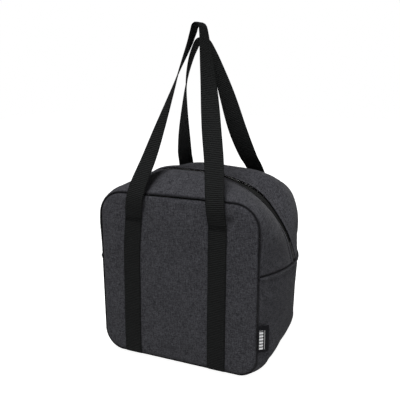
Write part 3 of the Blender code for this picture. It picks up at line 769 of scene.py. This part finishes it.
def panel(side, half):
    """A whole panel: its edge dips into the seam all round, and it puffs out just inside."""
    x, z = panel_grid()
    distance = edge_distance(x, z)
    rise = PANEL_PUFF * (1 - np.exp(-distance / PANEL_PUFF_REACH))
    place = np.stack([x, np.full_like(x, side * 0.08), z], axis=-1)
    pucker = unevenness(place, PUCKER * 1.3, 0.0050, 20.0 + side) * np.exp(-distance / 0.006)
    swell = unevenness(place, 0.0014, 0.060, 30.0 + side) * smooth(distance / 0.03)
    from_strap = np.minimum(abs(x - 0.059), abs(x + 0.062))
    pressed = smooth((from_strap - WEBBING_WIDTH / 2) / 0.012)
    # A small dent right of the right front strap, just above its stitching, with a painted shadow in it
    # where the strap stands off the panel.
    dent_and_painted_shadow = np.exp(-((x - 0.0752) / 0.0034) ** 2 - ((z - 0.2125) / 0.0042) ** 2) * (side < 0)
    y = SEAM_Y + rise + pucker + swell * pressed - 0.0025 * dent_and_painted_shadow
    points = np.stack([x, side * y, z], axis=-1)
    free = smooth((distance - 0.004) / 0.02) * (0.15 + 0.85 * pressed)
    points = settle(points, free, (0, 0, 0.12), 0.0022)
    # Painted shade along the seam all round, and the painted shadow in the dent.
    painted_shade = np.maximum(np.exp(-(distance / 0.0013) ** 2), 0.8 * dent_and_painted_shadow)
    made = grid_object(f"{half}_panel_cloth", points, LOOKS["canvas"], (0, 0, 0.12),
                       uv=np.stack([x, z], axis=-1), thickness=CANVAS_THICKNESS, levels=1,
                       painted_shade=painted_shade)
    bend_with(made)
    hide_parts(f"{half}_panel_lower", f"{half}_panel_upper")


def seam_allowance(side, half):
    """The turned-in edges of both cloths, a dark roll that closes the seam from inside."""
    edges = panel_edges()
    loop = np.concatenate([edges[0], edges[1], edges[2][::-1], edges[3][::-1]])
    middle = np.array((0.0, (PANEL_TOP + PANEL_BOTTOM) / 2))
    size = np.array((HALF_WIDTH, (PANEL_TOP - PANEL_BOTTOM) / 2))
    inset = 0.0026
    loop = resample(middle + (loop - middle) * (1 - inset / size), 400)
    line = np.stack([loop[:, 0], np.full(len(loop), side * 0.0757), loop[:, 1]], axis=1)
    made = joined_tubes(f"{half}_seam_allowance", [line], 0.0017, "binding", sides=8)
    bend_with(made)


def side_seam_allowances():
    """The same roll behind the two side seams."""
    lines = []
    for way in (-1, 1):
        depth = np.linspace(-0.074, 0.074, 60)
        bulge = (RIDGE_HALF - HALF_WIDTH) * (1 - (depth / HALF_DEPTH) ** 2)
        reach = HALF_WIDTH + bulge - 0.0040
        lines.append(np.stack([way * reach, depth, SPLIT + seam_lift(depth)], axis=1))
    made = joined_tubes("side_seam_allowances", lines, 0.0018, "binding", sides=8)
    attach(made, "base")


# ---------------------------------------------------------------- webbing

def smooth_line(knots, spacing):
    """Evenly spaced points on a smooth curve through the knots, and the curve's length."""
    knots = np.array(knots, float)
    reached = np.concatenate([[0], np.cumsum(np.linalg.norm(np.diff(knots, axis=0), axis=1))])
    tangents = np.gradient(knots, axis=0) / np.gradient(reached)[:, None]
    fine = []
    for index in range(len(knots) - 1):
        first, last = knots[index], knots[index + 1]
        reach = np.linalg.norm(last - first)
        t = np.linspace(0, 1, 24, endpoint=False)[:, None]
        places = first * (2 * t ** 3 - 3 * t ** 2 + 1) + last * (3 * t ** 2 - 2 * t ** 3)
        leaving = tangents[index] * reach * (t ** 3 - 2 * t ** 2 + t)
        arriving = tangents[index + 1] * reach * (t ** 3 - t ** 2)
        fine.append(places + leaving + arriving)
    fine = np.concatenate(fine + [knots[-1:]])
    length = np.linalg.norm(np.diff(fine, axis=0), axis=1).sum()
    return resample(fine, int(length / spacing) + 1), length


STRAP_Y = PANEL_FACE + 0.0002 + WEBBING_THICKNESS / 2
SECTION_ANGLES = np.linspace(0, 2 * math.pi, 29)[:-1]


def power(value, exponent):
    """A power that keeps the value's sign."""
    return np.copysign(abs(value) ** exponent, value)


def webbing(name, line, across):
    """A closed strip of webbing along a line, its width along across, with rounded selvedges."""
    along = np.gradient(line, axis=0)
    along /= np.linalg.norm(along, axis=1)[:, None]
    across = across - along * (across * along).sum(1)[:, None]
    across /= np.linalg.norm(across, axis=1)[:, None]
    face = np.cross(along, across)
    wide = power(np.cos(SECTION_ANGLES), 0.25)
    thick = power(np.sin(SECTION_ANGLES), 0.8) * (1 - 0.35 * (abs(wide) > 0.9))
    sideways = wide * WEBBING_WIDTH / 2
    points = (line[:, None] + across[:, None] * sideways[None, :, None]
              + face[:, None] * (thick * WEBBING_THICKNESS / 2)[None, :, None])
    travelled = np.concatenate([[0], np.cumsum(np.linalg.norm(np.diff(line, axis=0), axis=1))])
    uv = np.stack(np.broadcast_arrays(sideways[None, :], travelled[:, None]), axis=-1)
    index = np.arange(len(line) * len(wide)).reshape(len(line), len(wide))
    following = np.roll(index, -1, axis=1)
    faces = np.stack([index[:-1], following[:-1], following[1:], index[1:]], axis=-1).reshape(-1, 4)
    ends = [index[0][::-1].tolist(), index[-1].tolist()]
    made = link_mesh(name, points.reshape(-1, 3), faces.tolist() + ends, LOOKS["webbing"], uv)
    for polygon in made.data.polygons:
        polygon.use_smooth = len(polygon.vertices) == 4
    return made


# Middle lines of the straps on the panels, as (x, z), from foot to stitching.
STRAP_LINES = {
    ("front", "left"): ((-0.0665, STRAP_FOOT - 0.002), (-0.0662, 0.055), (-0.0650, 0.110), (-0.0640, 0.157),
                        (-0.0598, STITCH_HEIGHT)),
    ("front", "right"): ((0.0575, STRAP_FOOT - 0.002), (0.0578, 0.068), (0.0584, 0.115), (0.0589, 0.161),
                         (0.0595, STITCH_HEIGHT)),
    ("back", "left"): ((-0.0600, STRAP_FOOT - 0.002), (-0.0600, 0.080), (-0.0600, 0.150),
                       (-0.0600, STITCH_HEIGHT)),
    ("back", "right"): ((0.0600, STRAP_FOOT - 0.002), (0.0600, 0.080), (0.0600, 0.150),
                        (0.0600, STITCH_HEIGHT)),
}

# Legs of the handles above the stitching, from there to the middle of the loop.
HANDLE_LEGS = {
    ("front", "right"): (
        (0.0595, -STRAP_Y, STITCH_HEIGHT), (0.0585, -0.0850, 0.2200), (0.0572, -0.0848, 0.2330),
        (0.0545, -0.0790, 0.2500), (0.0470, -0.0630, 0.2800), (0.0375, -0.0480, 0.3180),
        (0.0268, -0.0300, 0.3640), (0.0200, -0.0200, 0.3920), (0.0112, -0.0070, 0.4240),
        (0.0068, -0.0015, 0.4410), (0.0040, 0.0000, 0.4485)),
    ("front", "left"): (
        (-0.0598, -STRAP_Y, STITCH_HEIGHT), (-0.0572, -0.0846, 0.2200), (-0.0548, -0.0846, 0.2330),
        (-0.0515, -0.0790, 0.2500), (-0.0448, -0.0630, 0.2800), (-0.0362, -0.0480, 0.3180),
        (-0.0262, -0.0300, 0.3640), (-0.0198, -0.0200, 0.3920), (-0.0116, -0.0070, 0.4240),
        (-0.0078, -0.0015, 0.4410), (-0.0056, 0.0000, 0.4485)),
    ("back", "right"): (
        (0.0600, STRAP_Y, STITCH_HEIGHT), (0.0594, 0.0836, 0.2200), (0.0585, 0.0826, 0.2330),
        (0.0548, 0.0700, 0.2540), (0.0500, 0.0560, 0.2720), (0.0410, 0.0370, 0.3100),
        (0.0315, 0.0215, 0.3560), (0.0245, 0.0140, 0.3840), (0.0165, 0.0105, 0.4080),
        (0.0096, 0.0100, 0.4230), (0.0054, 0.0100, 0.4295)),
}
HANDLE_LEGS["back", "left"] = tuple((-x, y, z) for x, y, z in HANDLE_LEGS["back", "right"])
HANDLE_TOPS = {"front": (-0.0004, 0.0000, 0.4513), "back": (0.0, 0.0100, 0.4323)}
TWIST_START = 0.12


def webbing_turn(share):
    """Turn of the webbing's width from +X towards the back at a share of the leg."""
    turning = np.clip((share - TWIST_START) / (1 - TWIST_START), 0, 1)
    return math.pi / 4 * (turning ** 1.2 + np.sin(math.pi / 2 * turning) ** 2)


def strap(side, half, where):
    """A strap lying on its panel, its foot tucked into the bottom seam."""
    foot_x = STRAP_LINES[half, where][0][0]
    line = [(x, side * STRAP_Y, z) for x, z in STRAP_LINES[half, where][1:]]
    foot = [(foot_x, side * (SEAM_Y + 0.0006), STRAP_FOOT - 0.0010),
            (foot_x, side * (STRAP_Y - 0.0012), STRAP_FOOT + 0.0008),
            (foot_x, side * STRAP_Y, STRAP_FOOT + 0.0045)]
    line, length = smooth_line(foot + line, 0.0015)
    made = webbing(f"{half}_strap_{where}", line, np.tile((1.0, 0.0, 0.0), (len(line), 1)))
    bend_with(made)
    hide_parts(f"{half}_strap_{where}_lower", f"{half}_strap_{where}_upper")


def handle(half):
    """A handle loop, from one strap's stitching over its top to the other's."""
    left = list(HANDLE_LEGS[half, "left"])[::-1]
    knots = list(HANDLE_LEGS[half, "right"]) + [HANDLE_TOPS[half]] + left
    line, length = smooth_line(knots, 0.0025)
    share = 1 - abs(1 - 2 * np.linspace(0, 1, len(line)))
    turn = webbing_turn(share)
    turn = np.where(np.arange(len(line)) > (len(line) - 1) / 2, math.pi - turn, turn)
    across = np.stack([np.cos(turn), np.sin(turn), np.zeros(len(line))], axis=1)
    made = webbing(f"{half}_handle_loop", line, across)
    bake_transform(made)
    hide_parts(f"{half}_handle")


# ---------------------------------------------------------------- thread and other thin tubes

def tube(points, radius, sides=6):
    """Ring points of a thin tube along a line, for joining into one mesh."""
    points = np.array(points, float)
    along = np.gradient(points, axis=0)
    along /= np.linalg.norm(along, axis=1)[:, None] + 1e-12
    guide = np.where(abs(along[:, 2:3]) > 0.9, [[1.0, 0, 0]], [[0, 0, 1.0]])
    side = np.cross(along, guide)
    side /= np.linalg.norm(side, axis=1)[:, None]
    up = np.cross(side, along)
    angle = np.linspace(0, 2 * math.pi, sides, endpoint=False)
    ring = side[:, None] * np.cos(angle)[None, :, None] + up[:, None] * np.sin(angle)[None, :, None]
    return points[:, None] + radius * ring


def joined_tubes(name, lines, radius, look, sides=6):
    """Many short threads as one mesh."""
    vertices, faces = [], []
    for line in lines:
        rings = tube(line, radius, sides)
        index = len(vertices) * sides + np.arange(len(rings) * sides).reshape(len(rings), sides)
        following = np.roll(index, -1, axis=1)
        walls = np.stack([index[:-1], following[:-1], following[1:], index[1:]], axis=-1)
        faces += walls.reshape(-1, 4).tolist() + [index[0][::-1].tolist(), index[-1].tolist()]
        vertices.extend(rings)
    return link_mesh(name, np.concatenate(vertices), faces, LOOKS[look])


def bartack(side, half, where):
    """Rows of stitches across the webbing where the handle leaves the panel."""
    rows, stitches, pitch, thread = 3, 9, 0.00255, 0.00022
    lines = []
    foot = np.array(STRAP_LINES[half, where])
    y = side * (STRAP_Y + WEBBING_THICKNESS / 2)
    for row in range(rows):
        z = STITCH_HEIGHT - 0.0012 - 0.0017 * row
        middle = np.interp(z, foot[:, 1], foot[:, 0])
        for stitch in range(stitches):
            x = middle + (stitch - (stitches - 1) / 2) * pitch
            over = y + side * thread
            lines.append([(x - 0.0010, y, z), (x - 0.0005, over, z),
                          (x + 0.0005, over, z), (x + 0.0010, y, z)])
    made = joined_tubes(f"{half}_bartack_{where}_stitches", lines, thread, "thread")
    bend_with(made)
    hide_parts(f"{half}_bartack_{where}")


# ---------------------------------------------------------------- zip

# Half of the zip's tape: depth from the middle line, and height against the bag's outline.
TAPE_PROFILE = ((0.0200, -0.0028), (0.0170, -0.0026), (0.0140, -0.0024), (0.0110, -0.0022),
                (0.0080, -0.0019), (0.0055, -0.0016), (0.0040, -0.0013), (0.0028, -0.0010),
                (0.0018, -0.0009), (0.0011, -0.0012), (0.0008, -0.0022))


def zip_line(count, offset, y):
    """A line along the zip's arc at one depth, offset outward."""
    outlines = tuple(whole(half) for half in half_outlines(True, UPPER_COUNTS))
    section = resample(wall_section(y, True, outlines, offset, with_pillow=False), count)
    return np.stack([section[:, 0], np.full(count, y), section[:, 1]], axis=1)


def zip_tape(side, half):
    """Half of the zip: woven tape under the canvas, thickening to its edge at the middle line."""
    points = np.stack([zip_line(260, offset, side * depth) for depth, offset in TAPE_PROFILE])
    depth = np.array([depth for depth, _ in TAPE_PROFILE])
    # Painted shadow of the folded canvas edges on the tape: on the back half a dark stripe about 3 mm from
    # the middle line, on the front half darkest at the middle line and fading within about 6 mm.
    shade = np.exp(-((depth - 0.0030) / 0.0018) ** 2) if side > 0 else np.exp(-(depth / 0.006) ** 2)
    made = grid_object(f"{half}_zip_tape_woven", points, LOOKS["zip_tape"], (0, side * 0.03, 0.10),
                       thickness=0.0006,
                       painted_shade=np.repeat(shade[:, None], points.shape[1], axis=1))
    bend_with(made)
    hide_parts(f"{half}_zip_tape")


def zip_teeth(side, half):
    """The coil's turns, as small hooks along the edge of the tape."""
    teeth = []
    line = zip_line(261, -0.0036, side * 0.0012)
    inward = np.array((0.0, 0.0, RIDGE_CENTRE)) - line
    inward[:, 1] = 0
    inward /= np.linalg.norm(inward, axis=1)[:, None]
    outer, inner = np.array((0, side * 0.0014, 0)), np.array((0, side * -0.0010, 0))
    for place, towards in zip(line[4:-4], inward[4:-4]):
        down = towards * 0.0012
        teeth.append([place + outer, place + inner, place + inner + down, place + outer + down])
    coil = joined_tubes(f"{half}_zip_teeth", teeth, 0.00036, "zip_coil", sides=5)
    bend_with(coil)
    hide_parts(f"{half}_zip_coil")


def topstitch(half, cloth):
    """A line of stitches along the folded edge beside the zip."""
    row = int(np.argmin(abs(abs(cloth[:-len(TUCK), 0, 1]) - ZIP_STITCH)))
    line = resample(cloth[row], 900)
    away = away_from_middle(line)
    pitch = 8
    height = np.array([0.0000, 0.0003, 0.00038, 0.00038, 0.0003, 0.0000])[:, None] + 0.0001
    lines = []
    for start in range(pitch // 2, len(line) - pitch, pitch):
        part = slice(start, start + len(height))
        lines.append(line[part] + away[part] * height)
    made = joined_tubes(f"{half}_topstitch", lines, 0.00020, "thread", sides=5)
    bend_with(made)


# ---------------------------------------------------------------- hidden layers and hardware

FOAM_EDGE = 0.0752
FOAM_MARGIN = 0.0022


def layer_copy(node, look):
    """A finer copy of a CAD layer, and its points."""
    source = frame["nodes"][node]
    made = bpy.data.objects.new(node + "_layer", source.data.copy())
    bpy.context.scene.collection.objects.link(made)
    finer = made.modifiers.new("finer", "SUBSURF")
    finer.subdivision_type = "SIMPLE"
    finer.levels = finer.render_levels = 2
    apply_modifiers(made)
    made.data.polygons.foreach_set("use_smooth", [False] * len(made.data.polygons))
    made.data.materials.clear()
    made.data.materials.append(LOOKS[look])
    co = np.zeros(len(made.data.vertices) * 3, np.float32)
    made.data.vertices.foreach_get("co", co)
    return made, co.reshape(-1, 3)


def follow_cloth(co, half):
    """A top half's layer moves as the cloth over it does."""
    co[:, 2] += left_lift(co[:, 0], co[:, 1]) * smooth((co[:, 2] - SPLIT) / 0.03)
    if half == "back":
        move_back_half(co)
    else:
        co[:, 2] += np.minimum(front_crest(co), 0.0)


def trim_gusset_foam(co):
    """Foam ends short of the front and back seams, and lies deeper beside every seam."""
    co[:, 1] = np.clip(co[:, 1], -FOAM_EDGE, FOAM_EDGE)
    near = smooth((abs(co[:, 1]) - FOAM_EDGE + 0.012) / 0.012)
    near = np.maximum(near, smooth((0.010 - abs(co[:, 2] - SPLIT + 0.0035)) / 0.005))[:, None]
    out = co - np.array((0.0, 0.0, 0.12))
    out[:, 1] = 0
    co -= near * FOAM_MARGIN * out / np.linalg.norm(out, axis=1)[:, None]


def bent_copy(node, half, look, bends=True):
    """A copy of a CAD layer that bends with the cloth over it, foam trimmed back from the seams."""
    made, co = layer_copy(node, look)
    if bends:
        follow_cloth(co, half)
    if look == "foam" and "gusset" in node:
        trim_gusset_foam(co)
    made.data.vertices.foreach_set("co", co.astype(np.float32).ravel())
    if bends:
        bend_with(made)
    else:
        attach(made, "base")
    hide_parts(node)


def hidden_layers():
    """Foam, liner, bindings and the zip's sewn ends."""
    for half in ("front", "back"):
        bent_copy(f"{half}_gusset_foam", half, "foam")
        bent_copy(f"{half}_foam_upper", half, "foam")
        bent_copy(f"{half}_liner_upper", half, "liner")
        bent_copy(f"{half}_seam_binding_upper", half, "binding")
        bent_copy(f"{half}_foam_lower", half, "foam", bends=False)
    bent_copy("gusset_foam_lower", "front", "foam", bends=False)
    plain = (("liner", "liner", "liner"), ("binding", "binding", "binding"),
             ("zip_tape_end", "binding", "zip_tape"), ("zip_coil_end", "zip_coil", "zip_coil"))
    for name, node in frame["nodes"].items():
        for key, look, slot in plain:
            if key in name and not node.hide_render:
                node.data.materials.clear()
                node.data.materials.append(LOOKS[look])


def hardware():
    """The zip's slider and puller, their edges rounded."""
    for name in ("zip_slider", "zip_puller"):
        node = frame["nodes"][name]
        node.data.materials.clear()
        node.data.materials.append(LOOKS["zip_metal"])
        edge = node.modifiers.new("edge", "BEVEL")
        edge.width = 0.00022
        edge.segments = 3
        edge.limit_method = "ANGLE"


def side_label():
    """The woven label sewn into the right front seam, slightly bowed."""
    low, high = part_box("side_label")
    foot = np.array((low.x, low.y, (low.z + high.z) / 2 - 0.003))
    height = high.z - low.z
    width = math.hypot(high.x - low.x, high.y - low.y)
    angle = math.atan2(high.y - low.y, high.x - low.x)
    across = np.linspace(0, 1, 13)[None, :]
    up = np.linspace(0, 1, 25)[:, None]
    bow = 0.0012 * np.sin(math.pi * across) + 0.0008 * np.sin(2.3 * up + 0.4)
    reach = width * across
    parts = (reach * math.cos(angle) + bow * math.sin(angle),
             reach * math.sin(angle) - bow * math.cos(angle), (up - 0.5) * height)
    points = foot + np.stack(np.broadcast_arrays(*parts), axis=-1)
    uv = np.stack(np.broadcast_arrays((across - 0.5) * width, up * height), axis=-1)
    made = grid_object("side_label_woven", points, label_look(height), (0, 0, 0.065), uv=uv,
                       thickness=0.0006, levels=1)
    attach(made, "base")
    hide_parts("side_label")


# ---------------------------------------------------------------- studio

# What the bag is lit by: the light from all round, from below and from above, and two soft lamps.
WORLD_AIM = (0.10, -0.20, 1.0)
WORLD_LIGHT = (0.05, 0.26)
LIGHTS = (
    ("side", (1.40, -0.75, 0.12), (0.1, 0, 0.08), 0.7, 8.0),
    ("top", (0.0, -0.90, 2.1), (0, 0, 0.2), 0.9, 60.0),
)
FLOOR_GLOW = 0.95

CAMERA_YAW, CAMERA_PITCH, CAMERA_ROLL = math.radians(24.17), math.radians(13.37), math.radians(-0.28)
CAMERA_AIM = (-0.0004, 0, 0.2139)
CAMERA_DISTANCE = 0.7731
CAMERA_LENS = 49.67


def floor():
    """A pale floor that looks white to the camera and throws little light back up at the bag."""
    bpy.ops.mesh.primitive_plane_add(size=6.0, location=(0, 0.8, -0.0002))
    made = bpy.context.object
    made.name = "floor"
    look = Look("pale_floor", roughness=0.9)
    grain = look.noise(look.scaled(look.object_place(), (60.0, 60.0, 60.0)), 1.0, 3.0)
    look.set(look.shader, base_color=look.mix(grain, (0.46, 0.46, 0.46), (0.50, 0.50, 0.50)))
    look.shader.inputs["Emission Color"].default_value = (1.0, 1.0, 1.0, 1.0)
    path = look.nodes.new("ShaderNodeLightPath")
    glow = look.math("MULTIPLY", path.outputs["Is Camera Ray"], FLOOR_GLOW)
    look.links.new(glow, look.shader.inputs["Emission Strength"])
    made.data.materials.append(look.material)


def surroundings():
    """White to the camera; to the bag, a soft light that is stronger from above."""
    world = bpy.data.worlds.new("studio")
    bpy.context.scene.world = world
    world.use_nodes = True
    nodes, links = world.node_tree.nodes, world.node_tree.links
    background = nodes["Background"]
    background.inputs["Color"].default_value = (1.0, 1.0, 1.0, 1)
    seen = nodes.new("ShaderNodeBackground")
    seen.inputs["Color"].default_value = (1, 1, 1, 1)
    seen.inputs["Strength"].default_value = 1.0
    direction = nodes.new("ShaderNodeTexCoord")
    towards = nodes.new("ShaderNodeVectorMath")
    towards.operation = "DOT_PRODUCT"
    links.new(direction.outputs["Generated"], towards.inputs[0])
    towards.inputs[1].default_value = WORLD_AIM
    ramp = nodes.new("ShaderNodeMapRange")
    links.new(towards.outputs["Value"], ramp.inputs["Value"])
    for key, number in zip(("From Min", "From Max", "To Min", "To Max"), (-0.5, 1.0, *WORLD_LIGHT)):
        ramp.inputs[key].default_value = number
    links.new(ramp.outputs[0], background.inputs["Strength"])
    path = nodes.new("ShaderNodeLightPath")
    mixed = nodes.new("ShaderNodeMixShader")
    links.new(path.outputs["Is Camera Ray"], mixed.inputs[0])
    links.new(background.outputs[0], mixed.inputs[1])
    links.new(seen.outputs[0], mixed.inputs[2])
    links.new(mixed.outputs[0], nodes["World Output"].inputs["Surface"])


def lamps():
    for name, place, aim, size, power in LIGHTS:
        data = bpy.data.lights.new(name, "AREA")
        data.shape = "SQUARE"
        data.size = size
        data.energy = power
        lamp = bpy.data.objects.new(name, data)
        bpy.context.scene.collection.objects.link(lamp)
        lamp.location = place
        lamp.rotation_mode = "QUATERNION"
        lamp.rotation_quaternion = (Vector(aim) - Vector(place)).to_track_quat("-Z", "Y")


def camera():
    back = Vector((math.sin(CAMERA_YAW) * math.cos(CAMERA_PITCH),
                   -math.cos(CAMERA_YAW) * math.cos(CAMERA_PITCH), math.sin(CAMERA_PITCH)))
    right = Vector((math.cos(CAMERA_YAW), math.sin(CAMERA_YAW), 0))
    up = back.cross(right)
    turned_right = right * math.cos(CAMERA_ROLL) + up * math.sin(CAMERA_ROLL)
    turned_up = up * math.cos(CAMERA_ROLL) - right * math.sin(CAMERA_ROLL)
    data = bpy.data.cameras.new("camera")
    data.lens = CAMERA_LENS
    data.sensor_width = 36.0
    made = bpy.data.objects.new("camera", data)
    bpy.context.scene.collection.objects.link(made)
    turned = Matrix((turned_right, turned_up, back)).transposed().to_4x4()
    made.matrix_world = Matrix.Translation(Vector(CAMERA_AIM) + back * CAMERA_DISTANCE) @ turned
    bpy.context.scene.camera = made


def main():
    scene = bpy.context.scene
    scene.view_settings.view_transform = "Standard"
    lower_gusset()
    for side, half in ((-1, "front"), (1, "back")):
        panel(side, half)
        seam_allowance(side, half)
        cloth = upper_gusset(side, half)
        topstitch(half, cloth)
        zip_tape(side, half)
        zip_teeth(side, half)
        for where in ("left", "right"):
            strap(side, half, where)
            bartack(side, half, where)
        handle(half)
    side_seam_allowances()
    side_label()
    hidden_layers()
    hardware()
    floor()
    surroundings()
    lamps()
    camera()


main()
